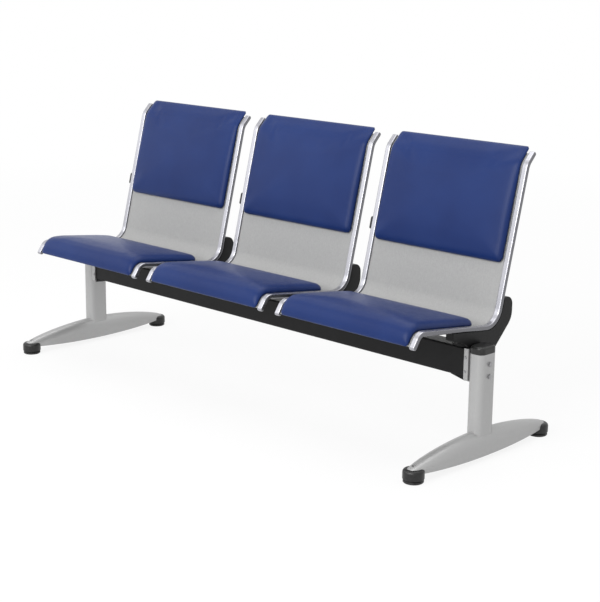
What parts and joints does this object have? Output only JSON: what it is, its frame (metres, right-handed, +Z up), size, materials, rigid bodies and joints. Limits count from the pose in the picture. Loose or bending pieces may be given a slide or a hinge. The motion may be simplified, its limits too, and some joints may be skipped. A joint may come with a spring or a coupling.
{
  "type": "beam seating",
  "caption": "Waiting bench: padded seats of bent sheet with bright side rails, carried by brackets on a black beam between two silver legs with long feet and levelling glides.",
  "frame": {"origin": "on the floor under the middle of the bench", "axes": "+X along the row to the sitter's left when seated, +Y to the rear, +Z up; the seats face -Y"},
  "size_m": [1.6964, 0.591, 0.8033],
  "materials": {
    "upholstery": "soft synthetic leather, satin",
    "board": "bare plywood",
    "sheet": "fine satin grey",
    "bright_rail": "bright, slightly worn",
    "black_paint": "black powder coat, satin",
    "silver_paint": "silver powder coat, satin",
    "black_plastic": "moulded, satin",
    "glide": "moulded, hard",
    "zinc": "zinc plated"
  },
  "bodies": {
    "frame": {"seat_shell_1": "sheet", "side_rail_left_1": "bright_rail", "side_rail_right_1": "bright_rail", "seat_pad_1": "upholstery", "back_pad_1": "upholstery", "seat_pad_board_1": "board", "back_pad_board_1": "board", "pad_screws_1": "zinc", "seat_bracket_left_1": "black_paint", "seat_bracket_right_1": "black_paint", "bracket_bolts_1": "zinc", "seat_shell_2": "sheet", "side_rail_left_2": "bright_rail", "side_rail_right_2": "bright_rail", "seat_pad_2": "upholstery", "back_pad_2": "upholstery", "seat_pad_board_2": "board", "back_pad_board_2": "board", "pad_screws_2": "zinc", "seat_bracket_left_2": "black_paint", "seat_bracket_right_2": "black_paint", "bracket_bolts_2": "zinc", "seat_shell_3": "sheet", "side_rail_left_3": "bright_rail", "side_rail_right_3": "bright_rail", "seat_pad_3": "upholstery", "back_pad_3": "upholstery", "seat_pad_board_3": "board", "back_pad_board_3": "board", "pad_screws_3": "zinc", "seat_bracket_left_3": "black_paint", "seat_bracket_right_3": "black_paint", "bracket_bolts_3": "zinc", "rail_knobs": "black_plastic", "beam_tube": "black_paint", "beam_saddle_left": "silver_paint", "leg_column_left": "silver_paint", "foot_arm_left": "silver_paint", "column_cap_left": "black_plastic", "leg_bolts_left": "zinc", "foot_cap_left_front": "black_plastic", "foot_cap_left_rear": "black_plastic", "beam_saddle_right": "silver_paint", "leg_column_right": "silver_paint", "foot_arm_right": "silver_paint", "column_cap_right": "black_plastic", "leg_bolts_right": "zinc", "foot_cap_right_front": "black_plastic", "foot_cap_right_rear": "black_plastic"},
    "pad_left_front": {"glide_pad_left_front": "glide"},
    "stem_left_front": {"glide_stem_left_front": "zinc"},
    "pad_left_rear": {"glide_pad_left_rear": "glide"},
    "stem_left_rear": {"glide_stem_left_rear": "zinc"},
    "pad_right_front": {"glide_pad_right_front": "glide"},
    "stem_right_front": {"glide_stem_right_front": "zinc"},
    "pad_right_rear": {"glide_pad_right_rear": "glide"},
    "stem_right_rear": {"glide_stem_right_rear": "zinc"}
  },
  "joints": [
    {"name": "glide_left_front_height", "type": "slide", "parent": "frame", "child": "pad_left_front", "axis": [0, 0, 1], "range_m": [-0.009, 0]},
    {"name": "glide_left_front_turn", "type": "hinge", "parent": "pad_left_front", "child": "stem_left_front", "pos_m": [-0.818, -0.267, 0.02], "axis": [0, 0, 1], "range_deg": [-2161, 0]},
    {"name": "glide_left_rear_height", "type": "slide", "parent": "frame", "child": "pad_left_rear", "axis": [0, 0, 1], "range_m": [-0.009, 0]},
    {"name": "glide_left_rear_turn", "type": "hinge", "parent": "pad_left_rear", "child": "stem_left_rear", "pos_m": [-0.818, 0.267, 0.02], "axis": [0, 0, 1], "range_deg": [-2161, 0]},
    {"name": "glide_right_front_height", "type": "slide", "parent": "frame", "child": "pad_right_front", "axis": [0, 0, 1], "range_m": [-0.009, 0]},
    {"name": "glide_right_front_turn", "type": "hinge", "parent": "pad_right_front", "child": "stem_right_front", "pos_m": [0.818, -0.267, 0.02], "axis": [0, 0, 1], "range_deg": [-2161, 0]},
    {"name": "glide_right_rear_height", "type": "slide", "parent": "frame", "child": "pad_right_rear", "axis": [0, 0, 1], "range_m": [-0.009, 0]},
    {"name": "glide_right_rear_turn", "type": "hinge", "parent": "pad_right_rear", "child": "stem_right_rear", "pos_m": [0.818, 0.267, 0.02], "axis": [0, 0, 1], "range_deg": [-2161, 0]}
  ],
  "couplings": [
    {"joint": "glide_left_front_turn", "follows": "glide_left_front_height", "rad_per_m": 4188.8},
    {"joint": "glide_left_rear_turn", "follows": "glide_left_rear_height", "rad_per_m": 4188.8},
    {"joint": "glide_right_front_turn", "follows": "glide_right_front_height", "rad_per_m": 4188.8},
    {"joint": "glide_right_rear_turn", "follows": "glide_right_rear_height", "rad_per_m": 4188.8}
  ]
}
